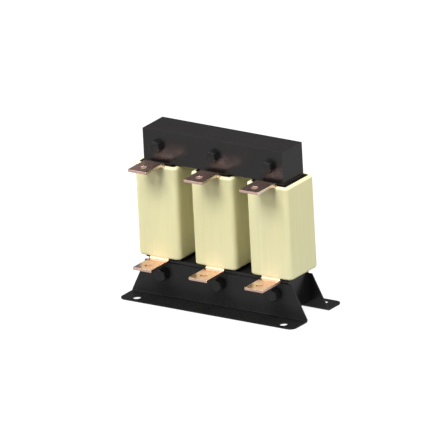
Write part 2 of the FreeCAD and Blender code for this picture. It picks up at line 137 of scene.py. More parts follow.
class ReactorSizes(bpy.types.PropertyGroup):
    sheet_pitch: bpy.props.FloatProperty(
        name="Sheet pitch", description="Thickness of one core sheet as it is modelled",
        default=1.0 * MM, unit="LENGTH")
    sheet_edge: bpy.props.FloatProperty(
        name="Sheet edge", description="Rounding along the cut edges of a core sheet",
        default=0.07 * MM, unit="LENGTH")
    wrap_corner: bpy.props.FloatProperty(
        name="Wrap corner", description="Radius of a coil's upright corners",
        default=6.0 * MM, unit="LENGTH")
    wrap_end_round: bpy.props.FloatProperty(
        name="Wrap end", description="Radius where a coil's wrap turns in over its ends",
        default=2.5 * MM, unit="LENGTH")
    wrap_edge: bpy.props.FloatProperty(
        name="Wrap edge", description="Rounding round the openings in a coil's wrap",
        default=0.3 * MM, unit="LENGTH")
    former_corner: bpy.props.FloatProperty(
        name="Former corner", description="Radius of a former's upright corners",
        default=2.0 * MM, unit="LENGTH")
    former_edge: bpy.props.FloatProperty(
        name="Former edge", description="Rounding along the edges of a former",
        default=0.15 * MM, unit="LENGTH")
    former_collar: bpy.props.FloatVectorProperty(
        name="Former collar", description="Collar on top of the coil: width at sides and front",
        size=2, default=(2.0 * MM, 0.7 * MM), unit="LENGTH")
    collar_height: bpy.props.FloatProperty(
        name="Collar height", description="Height of the collar on top of the coil",
        default=0.6 * MM, unit="LENGTH")
    terminal_thickness: bpy.props.FloatProperty(
        name="Terminal thickness", description="Thickness of the copper bars",
        default=3.0 * MM, unit="LENGTH")
    terminal_bend: bpy.props.FloatProperty(
        name="Terminal bend", description="Inner radius of a terminal's bend",
        default=2.0 * MM, unit="LENGTH")
    terminal_tip: bpy.props.FloatProperty(
        name="Terminal tip", description="Radius of a tongue's two free corners",
        default=1.0 * MM, unit="LENGTH")
    terminal_hole: bpy.props.FloatProperty(
        name="Terminal hole", description="Diameter of the hole in a tongue",
        default=8.4 * MM, unit="LENGTH")
    terminal_setback: bpy.props.FloatProperty(
        name="Hole setback", description="From a tongue's tip to the middle of its hole",
        default=13.0 * MM, unit="LENGTH")
    copper_edge: bpy.props.FloatProperty(
        name="Copper edge", description="Rounding along the edges of the copper bars",
        default=0.2 * MM, unit="LENGTH")
    foot_sheet: bpy.props.FloatProperty(
        name="Foot sheet", description="Thickness of the folded feet",
        default=1.5 * MM, unit="LENGTH")
    foot_bend: bpy.props.FloatProperty(
        name="Foot bend", description="Inner radius of the fold of a foot",
        default=1.5 * MM, unit="LENGTH")
    foot_top: bpy.props.FloatProperty(
        name="Foot top", description="Length of a foot along its upper edge",
        default=198.5 * MM, unit="LENGTH")
    foot_corner: bpy.props.FloatProperty(
        name="Foot corner", description="Radius of a flange's two free corners",
        default=8.0 * MM, unit="LENGTH")
    foot_edge: bpy.props.FloatProperty(
        name="Foot edge", description="Rounding of the painted edges of the feet",
        default=0.2 * MM, unit="LENGTH")
    slot_pitch: bpy.props.FloatProperty(
        name="Slot pitch", description="Between the two slots of a foot",
        default=200.0 * MM, unit="LENGTH")
    slot_setback: bpy.props.FloatProperty(
        name="Slot setback", description="From a flange's free edge to the middle of a slot",
        default=9.8 * MM, unit="LENGTH")
    slot_width: bpy.props.FloatProperty(
        name="Slot width", description="Width of a fixing slot",
        default=9.0 * MM, unit="LENGTH")
    slot_length: bpy.props.FloatProperty(
        name="Slot length", description="Length of a fixing slot, ends included",
        default=10.0 * MM, unit="LENGTH")
    bolt: bpy.props.FloatProperty(
        name="Bolt", description="Diameter of the clamping bolts",
        default=8.0 * MM, unit="LENGTH")
    thread_pitch: bpy.props.FloatProperty(
        name="Thread pitch", description="From one crest of the bolt's thread to the next",
        default=1.25 * MM, unit="LENGTH")
    thread_length: bpy.props.FloatProperty(
        name="Thread length", description="Length of the threaded end of a bolt",
        default=22.0 * MM, unit="LENGTH")
    hex_flats: bpy.props.FloatProperty(
        name="Hexagon", description="Bolt heads and nuts, across their flats",
        default=13.0 * MM, unit="LENGTH")
    bolt_head: bpy.props.FloatProperty(
        name="Bolt head", description="Height of a bolt's head with its washer face",
        default=5.3 * MM, unit="LENGTH")
    washer_face: bpy.props.FloatProperty(
        name="Washer face", description="Height of the round face under a bolt's head",
        default=0.3 * MM, unit="LENGTH")
    hex_edge: bpy.props.FloatProperty(
        name="Hexagon edge", description="Rounding along the edges of bolts and nuts",
        default=0.15 * MM, unit="LENGTH")
    washer_edge: bpy.props.FloatProperty(
        name="Washer edge", description="Rounding along the edges of washers",
        default=0.2 * MM, unit="LENGTH")


class ReactorColours(bpy.types.PropertyGroup):
    varnish: bpy.props.FloatVectorProperty(
        name="Varnish", description="Black varnish on the core sheets",
        default=(0.030, 0.027, 0.027), subtype="COLOR")
    foot_paint: bpy.props.FloatVectorProperty(
        name="Foot paint", description="Black paint on the folded feet",
        default=(0.020, 0.020, 0.020), subtype="COLOR")
    wrap: bpy.props.FloatVectorProperty(
        name="Wrap", description="Cream insulation round the coils",
        default=(0.83, 0.80, 0.49), subtype="COLOR")
    copper: bpy.props.FloatVectorProperty(
        name="Copper", description="Bare copper of the terminals and windings",
        default=(0.93, 0.66, 0.55), subtype="COLOR")
    fastener: bpy.props.FloatVectorProperty(
        name="Fasteners", description="Black oxide on bolts, nuts and washers",
        default=(0.008, 0.008, 0.008), subtype="COLOR")
    # The formers' black is darker than the plastic's own, as painted shade under the yoke
    former: bpy.props.FloatVectorProperty(
        name="Formers", description="Black moulded tubes that carry the coils",
        default=(0.004, 0.004, 0.004), subtype="COLOR")
    # The spacer board's dark brown is painted shade in the gap under the yoke
    board: bpy.props.FloatVectorProperty(
        name="Spacer board", description="Glass laminate in the air gaps",
        default=(0.035, 0.024, 0.014), subtype="COLOR")
    sleeve: bpy.props.FloatVectorProperty(
        name="Sleeves", description="Insulating tubes round the bolts",
        default=(0.55, 0.52, 0.42), subtype="COLOR")


def sizes():
    return bpy.context.scene.reactor_sizes


def colours():
    return bpy.context.scene.reactor_colours


# Modelling steps

def add_block(name, low, high):
    """Start a piece as a block between two corners."""
    low = Vector(low)
    high = Vector(high)
    bpy.ops.object.select_all(action="DESELECT")
    bpy.ops.mesh.primitive_cube_add(size=1, location=(low + high) / 2, scale=high - low)
    return start_piece(name)


def add_round(name, radius, low, high, vertices=48):
    """Start a piece as an upright cylinder on the Z axis between two heights."""
    bpy.ops.object.select_all(action="DESELECT")
    bpy.ops.mesh.primitive_cylinder_add(
        vertices=vertices, radius=radius, depth=high - low, location=(0, 0, (low + high) / 2))
    return start_piece(name)


def add_drill(radius, *placements):
    """A long cylinder on the Z axis, then placed, that cuts a hole right through."""
    drill = add_round("drill", radius, -DRILL_REACH, DRILL_REACH)
    for placement in placements:
        drill.data.transform(placement)
    return drill


def start_piece(name):
    piece = bpy.context.object
    piece.name = name
    piece.data.name = name
    bpy.ops.object.transform_apply(location=True, rotation=True, scale=True)
    return piece


def make_active(piece):
    bpy.ops.object.select_all(action="DESELECT")
    piece.select_set(True)
    bpy.context.view_layer.objects.active = piece


def edit(piece):
    make_active(piece)
    bpy.ops.object.mode_set(mode="EDIT")


def leave_edit():
    bpy.ops.object.mode_set(mode="OBJECT")


def pick(kind, test):
    """In edit mode, select the vertices, edges or faces that pass a test."""
    bpy.ops.mesh.select_mode(type=kind)
    bpy.ops.mesh.select_all(action="DESELECT")
    mesh = bmesh.from_edit_mesh(bpy.context.edit_object.data)
    items = {"VERT": mesh.verts, "EDGE": mesh.edges, "FACE": mesh.faces}[kind]
    chosen = [item for item in items if test(item)]
    if not chosen:
        raise RuntimeError(f"nothing to pick on {bpy.context.edit_object.name}")
    for item in chosen:
        item.select_set(True)
    mesh.select_flush_mode()
    bmesh.update_edit_mesh(bpy.context.edit_object.data)


def along(edge, axis):
    """Whether an edge runs along an axis: 0, 1 or 2."""
    run = (edge.verts[1].co - edge.verts[0].co).normalized()
    return abs(run[axis]) > PARALLEL


def looks_along(face, axis):
    """Whether a face looks more along an axis than across it: 0, 1 or 2."""
    return abs(face.normal[axis]) > 0.5


def middle(item):
    points = [vertex.co for vertex in item.verts]
    return sum(points, Vector()) / len(points)


def pick_facing(direction):
    """In edit mode, select the faces that look in a direction."""
    pick("FACE", lambda face: face.normal.dot(Vector(direction)) > SQUARE)


def round_picked(radius, segments):
    bpy.ops.mesh.bevel(offset=radius, segments=segments, affect="EDGES")


def extrude(shift):
    bpy.ops.mesh.extrude_region_move(TRANSFORM_OT_translate={"value": shift})


def bend_up(centre, steps=10):
    """Sweep the picked end face a quarter turn about the X direction; it stays picked."""
    bpy.ops.mesh.spin(steps=steps, angle=QUARTER_TURN, center=centre, axis=(-1, 0, 0))


def grow(length, factor=1.0):
    """Extrude the picked end face along Z and scale it about the Z axis."""
    extrude((0, 0, length))
    bpy.ops.transform.resize(value=(factor, factor, 1), center_override=(0, 0, 0))


def apply_modifier(piece, kind, **settings):
    make_active(piece)
    modifier = piece.modifiers.new(kind.title(), kind)
    for key, value in settings.items():
        setattr(modifier, key, value)
    bpy.ops.object.modifier_apply(modifier=modifier.name)


def combine(piece, tool, operation):
    """Cut, join or trim a piece with another, which is used up."""
    apply_modifier(piece, "BOOLEAN", object=tool, operation=operation, solver="EXACT")
    bpy.data.objects.remove(tool)


def carve(piece, tool):
    combine(piece, tool, "DIFFERENCE")


def soften(piece, width, segments=2, sharp=40):
    """Round a finished form's edges that turn more than sharp degrees, and shade it."""
    apply_modifier(
        piece, "BEVEL", width=width, segments=segments, limit_method="ANGLE",
        angle_limit=math.radians(sharp), miter_outer="MITER_ARC")
    shade(piece)


def shade(piece, smooth_under=35):
    make_active(piece)
    bpy.ops.object.shade_smooth_by_angle(angle=math.radians(smooth_under))
    apply_modifier(piece, "WEIGHTED_NORMAL", keep_sharp=True)


def copy_piece(piece, name, placement):
    """A copy with its own mesh, moved in its mesh."""
    twin = piece.copy()
    twin.data = piece.data.copy()
    twin.name = name
    twin.data.name = name
    bpy.context.scene.collection.objects.link(twin)
    twin.data.transform(placement)
    return twin


def finish_piece(piece, node, material):
    """Give a piece its material, hang it on the root body and hide the CAD node it takes the
    place of.
    """
    piece.data.materials.clear()
    piece.data.materials.append(material)
    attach(piece, "root")
    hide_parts(node)


def add_material(piece, material, test):
    """Give the faces that pass a test a material of their own."""
    piece.data.materials.append(material)
    for face in piece.data.polygons:
        if test(face):
            face.material_index = len(piece.data.materials) - 1


def finish_node(node, material):
    """Keep a CAD node as it is, with a better material."""
    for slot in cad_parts[node].material_slots:
        slot.material = material


def limb_middle(side):
    low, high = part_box(f"coil_wrap_{side}")
    return (low.x + high.x) / 2


# Materials

class Recipe:
    """A new material with one principled shader, and short ways to add nodes to it."""

    def __init__(self, name, roughness, metallic=0.0, specular=0.5):
        self.material = bpy.data.materials.new(name)
        self.material.use_nodes = True
        self.nodes = self.material.node_tree.nodes
        self.shader = self.nodes["Principled BSDF"]
        self.shader.inputs["Roughness"].default_value = roughness
        self.shader.inputs["Metallic"].default_value = metallic
        self.shader.inputs["Specular IOR Level"].default_value = specular
        self.place = self.nodes.new("ShaderNodeTexCoord").outputs["Object"]

    def link(self, source, target):
        self.material.node_tree.links.new(source, target)

    def stretch(self, factors):
        """Object coordinates scaled along each axis."""
        mapping = self.nodes.new("ShaderNodeMapping")
        mapping.inputs["Scale"].default_value = factors
        self.link(self.place, mapping.inputs["Vector"])
        return mapping.outputs["Vector"]

    def noise(self, scale, detail=3.0, place=None, roughness=0.5):
        texture = self.nodes.new("ShaderNodeTexNoise")
        texture.inputs["Scale"].default_value = scale
        texture.inputs["Detail"].default_value = detail
        texture.inputs["Roughness"].default_value = roughness
        self.link(place or self.place, texture.inputs["Vector"])
        return texture.outputs["Fac"]

    def spread(self, pattern, low, high, start=0.3, end=0.7):
        """Map a pattern from start..end onto low..high."""
        node = self.nodes.new("ShaderNodeMapRange")
        for name, value in (
                ("From Min", start), ("From Max", end), ("To Min", low), ("To Max", high)):
            node.inputs[name].default_value = value
        self.link(pattern, node.inputs["Value"])
        return node.outputs["Result"]

    def mix(self, pattern, first, second, most=1.0, start=0.3, end=0.7):
        """Blend two colours, or outputs of nodes, over a pattern, up to a share of the second."""
        node = self.nodes.new("ShaderNodeMix")
        node.data_type = "RGBA"
        self.link(self.spread(pattern, 0, most, start, end), node.inputs["Factor"])
        sockets = [socket for socket in node.inputs if socket.type == "RGBA"]
        for socket, colour in zip(sockets, (first, second)):
            if isinstance(colour, bpy.types.NodeSocket):
                self.link(colour, socket)
            else:
                socket.default_value = (*colour, 1)
        return next(socket for socket in node.outputs if socket.type == "RGBA")

    def bump(self, height, depth, strength=1.0, onto=None):
        node = self.nodes.new("ShaderNodeBump")
        node.inputs["Distance"].default_value = depth
        node.inputs["Strength"].default_value = strength
        self.link(height, node.inputs["Height"])
        if onto is not None:
            self.link(onto, node.inputs["Normal"])
        return node.outputs["Normal"]

    def set(self, name, source):
        self.link(source, self.shader.inputs[name])


def scaled(colour, gain):
    return tuple(min(1.0, channel * gain) for channel in colour)


def varnish(name, gain, roughness, specular):
    """Black varnish, a little thicker here and there, over stacked sheets."""
    recipe = Recipe(name, roughness, specular=specular)
    colour = scaled(colours().varnish, gain)
    patches = recipe.noise(scale=28, detail=4)
    tone = recipe.mix(patches, scaled(colour, 0.85), scaled(colour, 1.2))
    across_stack = recipe.stretch((2, 1 / sizes().sheet_pitch, 2))
    sheets = recipe.noise(scale=1, detail=0, place=across_stack)
    recipe.set("Base Color", recipe.mix(sheets, tone, scaled(colour, 1.6), most=0.35))
    gloss = recipe.noise(scale=60, detail=3)
    recipe.set("Roughness", recipe.spread(gloss, roughness * 0.85, roughness * 1.15))
    orange_peel = recipe.noise(scale=350, detail=2)
    recipe.set("Normal", recipe.bump(orange_peel, depth=0.05 * MM, strength=0.4))
    return recipe.material


def foot_paint(name, gain, specular):
    """Satin black powder paint with a fine orange peel."""
    recipe = Recipe(name, roughness=0.3, specular=specular)
    colour = scaled(colours().foot_paint, gain)
    patches = recipe.noise(scale=22, detail=4)
    recipe.set("Base Color", recipe.mix(patches, scaled(colour, 0.85), scaled(colour, 1.3)))
    gloss = recipe.noise(scale=90, detail=3)
    recipe.set("Roughness", recipe.spread(gloss, low=0.24, high=0.32))
    orange_peel = recipe.noise(scale=900, detail=2)
    recipe.set("Normal", recipe.bump(orange_peel, depth=0.06 * MM, strength=0.25))
    return recipe.material


def wrap_cream():
    """Cream insulating wrap: long fibres up the coil, faint clouds of tone, satin face."""
    recipe = Recipe("coil_wrap_cream", roughness=0.5, specular=0.15)
    colour = colours().wrap
    warm = (colour[0], colour[1] * 0.97, colour[2] * 0.88)
    clouds = recipe.noise(scale=14, detail=3, place=recipe.stretch((1, 1, 0.5)))
    tone = recipe.mix(clouds, warm, scaled(colour, 1.03))
    up_coil = recipe.stretch((1, 1, 0.06))
    fibres = recipe.noise(scale=260, detail=4, place=up_coil, roughness=0.6)
    recipe.set("Base Color", recipe.mix(fibres, tone, scaled(colour, 0.86), most=0.4))
    recipe.set("Roughness", recipe.spread(fibres, low=0.42, high=0.6))
    slack = recipe.noise(scale=30, detail=2, place=recipe.stretch((1, 1, 0.35)))
    waves = recipe.bump(slack, depth=1.2 * MM, strength=0.25)
    recipe.set("Normal", recipe.bump(fibres, depth=0.3 * MM, strength=0.6, onto=waves))
    return recipe.material


def bare_copper(name, painted_light, roughness):
    """Drawn copper bar with fine lines along it and a first breath of tarnish, its colour scaled
    for each group of faces as painted light and shade.
    """
    recipe = Recipe(name, roughness, metallic=1.0)
    colour = tuple(channel * share for channel, share in zip(colours().copper, painted_light))
    along_bar = recipe.stretch((1, 0.03, 0.03))
    lines = recipe.noise(scale=900, detail=3, place=along_bar, roughness=0.6)
    bright = recipe.mix(lines, colour, scaled(colour, 0.88), most=0.3)
    darker = (colour[0] * 0.8, colour[1] * 0.68, colour[2] * 0.6)
    tarnish = recipe.noise(scale=45, detail=4)
    recipe.set("Base Color", recipe.mix(
        tarnish, bright, darker, most=0.3, start=0.45, end=0.75))
    recipe.set("Roughness", recipe.spread(lines, roughness * 0.85, roughness * 1.15))
    recipe.set("Normal", recipe.bump(lines, depth=0.02 * MM, strength=0.4))
    return recipe.material


def black_oxide(name, gain, specular):
    """Black oxide on steel."""
    recipe = Recipe(name, roughness=0.3, specular=specular)
    colour = scaled(colours().fastener, gain)
    patches = recipe.noise(scale=160, detail=3)
    recipe.set("Base Color", recipe.mix(patches, scaled(colour, 0.7), scaled(colour, 1.6)))
    gloss = recipe.noise(scale=300, detail=3)
    recipe.set("Roughness", recipe.spread(gloss, low=0.24, high=0.38))
    grain = recipe.noise(scale=1200, detail=2)
    recipe.set("Normal", recipe.bump(grain, depth=0.02 * MM, strength=0.4))
    return recipe.material


def moulded_black():
    """Matt black moulded plastic with a little glass fibre in it, darkened past its own black as
    painted shade under the yoke.
    """
    recipe = Recipe("former_black_painted_shade", roughness=0.6, specular=0.05)
    colour = colours().former
    specks = recipe.noise(scale=1400, detail=2)
    recipe.set("Base Color", recipe.mix(specks, colour, scaled(colour, 1.8)))
    recipe.set("Roughness", recipe.spread(specks, low=0.5, high=0.7))
    recipe.set("Normal", recipe.bump(specks, depth=0.03 * MM, strength=0.5))
    return recipe.material


def spacer_board():
    """Glass cloth laminate, coloured dark brown as painted shade in the gap under the yoke."""
    recipe = Recipe("spacer_laminate_painted_shade", roughness=0.5)
    colour = colours().board
    warp = recipe.noise(scale=700, detail=1, place=recipe.stretch((1, 0.1, 1)))
    weft = recipe.noise(scale=700, detail=1, place=recipe.stretch((0.1, 1, 1)))
    cloth = recipe.mix(warp, scaled(colour, 0.85), colour)
    recipe.set("Base Color", recipe.mix(weft, cloth, scaled(colour, 1.15), most=0.6))
    recipe.set("Normal", recipe.bump(weft, depth=0.03 * MM, strength=0.5))
    return recipe.material


def winding_foil():
    """Copper foil turns with an insulating film between them."""
    recipe = Recipe("winding_foil", roughness=0.35, metallic=1.0)
    colour = colours().copper
    turns = recipe.noise(scale=1600, detail=1, place=recipe.stretch((1, 1, 0.02)))
    recipe.set("Base Color", recipe.mix(turns, colour, scaled(colour, 0.7)))
    recipe.set("Roughness", recipe.spread(turns, low=0.25, high=0.5))
    recipe.set("Normal", recipe.bump(turns, depth=0.04 * MM, strength=0.5))
    return recipe.material


def sleeve_tube():
    """Wound insulating tube."""
    recipe = Recipe("sleeve_tube", roughness=0.55)
    colour = colours().sleeve
    winding = recipe.noise(scale=900, detail=2, place=recipe.stretch((1, 0.2, 1)))
    recipe.set("Base Color", recipe.mix(winding, scaled(colour, 0.85), colour))
    recipe.set("Normal", recipe.bump(winding, depth=0.03 * MM, strength=0.5))
    return recipe.material


# Operators, one for each group of pieces

class REACTOR_OT_core(bpy.types.Operator):
    """Model the two yokes as stacks of holed sheets and finish the hidden limbs"""
    bl_idname = "reactor.core"
    bl_label = "Core"

    def execute(self, context):
        black = varnish("core_varnish", gain=0.2, roughness=0.3, specular=0.27)
        # Top and bottom faces show the rougher cut sheet edges; their tone, lighter than that of
        # the ends, is painted light on the top
        edges = varnish("core_varnish_on_edges_painted_light", gain=0.3, roughness=0.4, specular=0.1)
        ends = varnish("core_varnish_on_ends", gain=0.2, roughness=0.25, specular=0.175)
        lower = self.make_stack("lower_yoke")
        low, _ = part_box("lower_yoke")
        high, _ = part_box("upper_yoke")
        rise = Matrix.Translation(high - low)
        upper = copy_piece(lower, "upper_yoke_sheets", rise)
        for stack, node in ((lower, "lower_yoke"), (upper, "upper_yoke")):
            finish_piece(stack, node, black)
            add_material(stack, edges, lambda face: looks_along(face, 2))
            add_material(stack, ends, lambda face: looks_along(face, 0))
        board = spacer_board()
        for side in SIDES:
            finish_node(f"core_limb_{side}", black)
            finish_node(f"lower_gap_spacer_{side}", board)
            finish_node(f"upper_gap_spacer_{side}", board)
        return {"FINISHED"}

    def make_stack(self, node):
        """One sheet with its three bolt holes, repeated through the core's depth."""
        low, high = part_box(node)
        count = round((high.y - low.y) / sizes().sheet_pitch)
        pitch = (high.y - low.y) / count
        sheet = add_block(f"{node}_sheets", low, (high.x, low.y + pitch, high.z))
        sleeve_low, sleeve_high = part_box("lower_bolt_sleeve_center")
        radius = (sleeve_high.x - sleeve_low.x) / 2 + SLEEVE_PLAY
        for side in SIDES:
            hole = Matrix.Translation((limb_middle(side), 0, (low.z + high.z) / 2))
            carve(sheet, add_drill(radius, LAID, hole))
        soften(sheet, sizes().sheet_edge, segments=1)
        apply_modifier(
            sheet, "ARRAY", count=count, use_relative_offset=False,
            use_constant_offset=True, constant_offset_displace=(0, pitch, 0))
        return sheet


class REACTOR_OT_coils(bpy.types.Operator):
    """Model the three wrapped coils and the formers that carry them"""
    bl_idname = "reactor.coils"
    bl_label = "Coils"

    def execute(self, context):
        cream = wrap_cream()
        black = moulded_black()
        foil = winding_foil()
        wrap = self.make_wrap()
        tube = self.make_former()
        for side in SIDES:
            shift = Matrix.Translation((limb_middle(side) - limb_middle("center"), 0, 0))
            twin = copy_piece(wrap, f"coil_wrapping_{side}", shift)
            finish_piece(twin, f"coil_wrap_{side}", cream)
            twin = copy_piece(tube, f"coil_tube_{side}", shift)
            finish_piece(twin, f"coil_former_{side}", black)
            finish_node(f"winding_{side}", foil)
        bpy.data.objects.remove(wrap)
        bpy.data.objects.remove(tube)
        return {"FINISHED"}

    def make_wrap(self):
        """Rounded closed wrap, hollow for the winding, open for former and terminal legs."""
        low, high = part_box("coil_wrap_center")
        wrap = add_block("wrap", low, high)
        edit(wrap)
        pick("EDGE", lambda edge: along(edge, 2))
        round_picked(sizes().wrap_corner, segments=10)
        pick("FACE", lambda face: abs(face.normal.z) > SQUARE)
        bpy.ops.mesh.region_to_loop()
        round_picked(sizes().wrap_end_round, segments=5)
        leave_edit()
        winding_low, winding_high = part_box("winding_center")
        cavity = add_block("cavity", winding_low, winding_high)
        edit(cavity)
        pick("EDGE", lambda edge: along(edge, 2))
        wall = winding_low.x - low.x
        round_picked(sizes().wrap_corner - wall, segments=8)
        leave_edit()
        carve(wrap, cavity)
        carve(wrap, self.bore_tool())
        leg_low, leg_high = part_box("upper_terminal_center")
        left, right, rear = leg_low.x - LEG_PLAY, leg_high.x + LEG_PLAY, leg_high.y + LEG_PLAY
        for near, far in ((low.z - PROUD, winding_low.z), (winding_high.z, high.z + PROUD)):
            carve(wrap, add_block("slot", (left, winding_low.y, near), (right, rear, far)))
        soften(wrap, sizes().wrap_edge)
        return wrap

    def bore_tool(self):
        low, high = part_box("coil_former_center")
        return add_block("bore", low - Vector((0, 0, PROUD)), high + Vector((0, 0, PROUD)))

    def make_former(self):
        """Moulded tube with rounded corners round the limb and a thin collar on the coil."""
        low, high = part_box("coil_former_center")
        coil_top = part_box("coil_wrap_center")[1].z + COLLAR_LIFT
        tube = add_block("tube", low, (high.x, high.y, coil_top))
        edit(tube)
        pick("EDGE", lambda edge: along(edge, 2))
        round_picked(sizes().former_corner, segments=5)
        pick_facing((0, 0, 1))
        extrude((0, 0, 0))
        grown = [
            1 + 2 * width / length for length, width in zip(high - low, sizes().former_collar)]
        centre = ((low.x + high.x) / 2, (low.y + high.y) / 2, coil_top)
        bpy.ops.transform.resize(value=(*grown, 1), center_override=centre)
        extrude((0, 0, sizes().collar_height))
        leave_edit()
        limb_low, limb_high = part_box("core_limb_center")
        play = Vector((LIMB_PLAY, LIMB_PLAY, DRILL_REACH))
        carve(tube, add_block("limb", limb_low - play, limb_high + play))
        soften(tube, sizes().former_edge)
        return tube


def is_tip(face, tip):
    """Whether a terminal's face was sawn: the end of its tongue."""
    return face.center.y < tip + 2 * sizes().terminal_tip and not looks_along(face, 2)


def in_hole(face, hole):
    """Whether a terminal's face is the wall of its drilled hole."""
    reach = sizes().terminal_hole / 2 + TOUCH
    return not looks_along(face, 2) and (face.center.xy - hole).length < reach


class REACTOR_OT_terminals(bpy.types.Operator):
    """Model the six copper terminals: a leg, a bend and a drilled tongue"""
    bl_idname = "reactor.terminals"
    bl_label = "Terminals"

    def execute(self, context):
        # Sawn ends, side edges and hole walls are the same copper made darker, as painted shade
        sawn = bare_copper("copper_sawn_end_painted_shade", painted_light=(0.5, 0.5, 0.5), roughness=0.4)
        # The upper tongues are the same copper as the lower, made darker as painted shade
        copper_shades = {
            "upper": (
                bare_copper("copper_upper_painted_shade", painted_light=(0.95, 0.84, 0.88), roughness=0.18),
                bare_copper("copper_upper_edges_painted_shade", painted_light=(0.68, 0.8, 0.82), roughness=0.3),
                bare_copper("copper_upper_hole_painted_shade", painted_light=(0.45, 0.47, 0.48), roughness=0.4)),
            "lower": (
                bare_copper("copper_lower", painted_light=(0.96, 0.94, 1.0), roughness=0.22),
                bare_copper("copper_lower_edges_painted_shade", painted_light=(0.6, 0.56, 0.54), roughness=0.3),
                bare_copper("copper_lower_hole_painted_shade", painted_light=(0.72, 0.57, 0.36), roughness=0.4))}
        # The lower legs' copper tone is painted light, set to the highlight the lamps leave on
        # them; their rougher face spreads that highlight
        leg = bare_copper("copper_lower_leg_painted_light", painted_light=(0.97, 0.91, 0.8), roughness=0.5)
        bar = self.make_bar()
        low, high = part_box("upper_terminal_center")
        bend_start = high.y - sizes().terminal_thickness - sizes().terminal_bend - TOUCH
        coil_low, coil_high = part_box("coil_wrap_center")
        over = Matrix.Translation((0, 0, coil_low.z + coil_high.z))
        flip = over @ Matrix.Rotation(math.pi, 4, "Y")
        for side in SIDES:
            shift = Matrix.Translation((limb_middle(side), 0, 0))
            for level, placement in (("upper", shift), ("lower", shift @ flip)):
                twin = copy_piece(bar, f"{level}_tongue_{side}", placement)
                flat, edges, wall = copper_shades[level]
                hole = Vector((limb_middle(side), low.y + sizes().terminal_setback))
                finish_piece(twin, f"{level}_terminal_{side}", flat)
                if level == "lower":
                    add_material(twin, leg, lambda face: face.center.y > bend_start)
                add_material(twin, edges, lambda face: looks_along(face, 0))
                add_material(twin, sawn, lambda face: is_tip(face, low.y))
                add_material(twin, wall, lambda face: in_hole(face, hole))
        bpy.data.objects.remove(bar)
        return {"FINISHED"}

    def make_bar(self):
        low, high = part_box("upper_terminal_center")
        thickness = sizes().terminal_thickness
        bend = sizes().terminal_bend
        leg_front = high.y - thickness
        turn = Vector((0, leg_front - bend, high.z - thickness - bend))
        bar = add_block("bar", (low.x, leg_front, low.z), (high.x, high.y, turn.z))
        edit(bar)
        pick_facing((0, 0, 1))
        bend_up(turn)
        extrude((0, low.y - turn.y, 0))
        pick("EDGE", lambda edge: along(edge, 2) and middle(edge).y < low.y + TOUCH)
        round_picked(sizes().terminal_tip, segments=4)
        bpy.ops.mesh.select_all(action="SELECT")
        bpy.ops.mesh.normals_make_consistent(inside=False)
        leave_edit()
        hole = Matrix.Translation((0, low.y + sizes().terminal_setback, high.z))
        carve(bar, add_drill(sizes().terminal_hole / 2, hole))
        soften(bar, sizes().copper_edge, segments=3)
        return bar


def is_fold(face, height):
    """Whether a face of a foot lies in the round of its fold, on either side of the sheet."""
    return face.center.z < height and UPRIGHT_NORMAL < face.normal.z < LEVEL_NORMAL


class REACTOR_OT_feet(bpy.types.Operator):
    """Model the two folded feet with their slanted ends, bolt holes and slots"""
    bl_idname = "reactor.feet"
    bl_label = "Feet"

    def execute(self, context):
        upright = foot_paint("foot_paint", gain=0.76, specular=0.15)
        # The flange and the fold take the same paint made darker, as painted shade: the flange
        # against the light from above, the fold over the highlight along its bend
        flat = foot_paint("foot_paint_painted_shade_on_flange", gain=0.35, specular=0.12)
        folded = foot_paint("foot_paint_painted_shade_in_fold", gain=0.65, specular=0.035)
        front = self.make_foot()
        rear = copy_piece(front, "rear_foot", Matrix.Rotation(math.pi, 4, "Z"))
        height = sizes().foot_sheet + sizes().foot_bend + TOUCH
        for foot, node in ((front, "front_foot_bracket"), (rear, "rear_foot_bracket")):
            finish_piece(foot, node, upright)
            add_material(foot, flat, lambda face: face.normal.z > LEVEL_NORMAL)
            add_material(foot, folded, lambda face: is_fold(face, height))
        return {"FINISHED"}

    def make_foot(self):
        low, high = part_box("front_foot_bracket")
        sheet = sizes().foot_sheet
        turn = Vector((0, high.y - sheet - sizes().foot_bend, sheet + sizes().foot_bend))
        foot = add_block("front_foot", low, (high.x, turn.y, sheet))
        edit(foot)
        pick_facing((0, 1, 0))
        bend_up(turn)
        extrude((0, 0, high.z - turn.z))
        self.slant_ends(high.x, high.z)
        pick("EDGE", lambda edge: along(edge, 2) and middle(edge).y < low.y + TOUCH)
        round_picked(sizes().foot_corner, segments=10)
        bpy.ops.mesh.select_all(action="SELECT")
        bpy.ops.mesh.normals_make_consistent(inside=False)
        leave_edit()
        for side in SIDES:
            bolt_low, bolt_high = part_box(f"lower_bolt_{side}")
            hole = Matrix.Translation(
                (limb_middle(side), high.y, (bolt_low.z + bolt_high.z) / 2))
            carve(foot, add_drill(sizes().bolt / 2 + FOOT_BOLT_PLAY, LAID, hole))
        slot_x, slot_y = sizes().slot_pitch / 2, low.y + sizes().slot_setback
        for x in (-slot_x, slot_x):
            carve(foot, self.slot_tool(x, slot_y))
        soften(foot, sizes().foot_edge)
        return foot

    def slant_ends(self, reach, top):
        """Draw the upper corners of the web in to the length of the top edge."""
        for sign in (-1, 1):
            pick("VERT", lambda vertex: vertex.co.z > top - TOUCH and vertex.co.x * sign > 0)
            bpy.ops.transform.translate(value=(sign * (sizes().foot_top / 2 - reach), 0, 0))

    def slot_tool(self, x, y):
        """An upright bar with rounded ends."""
        half = Vector((sizes().slot_width / 2, sizes().slot_length / 2, PUNCH_REACH))
        tool = add_block("slot", Vector((x, y, 0)) - half, Vector((x, y, 0)) + half)
        edit(tool)
        pick("EDGE", lambda edge: along(edge, 2))
        round_picked(half.x * SLOT_ROUND, segments=10)
        leave_edit()
        return tool


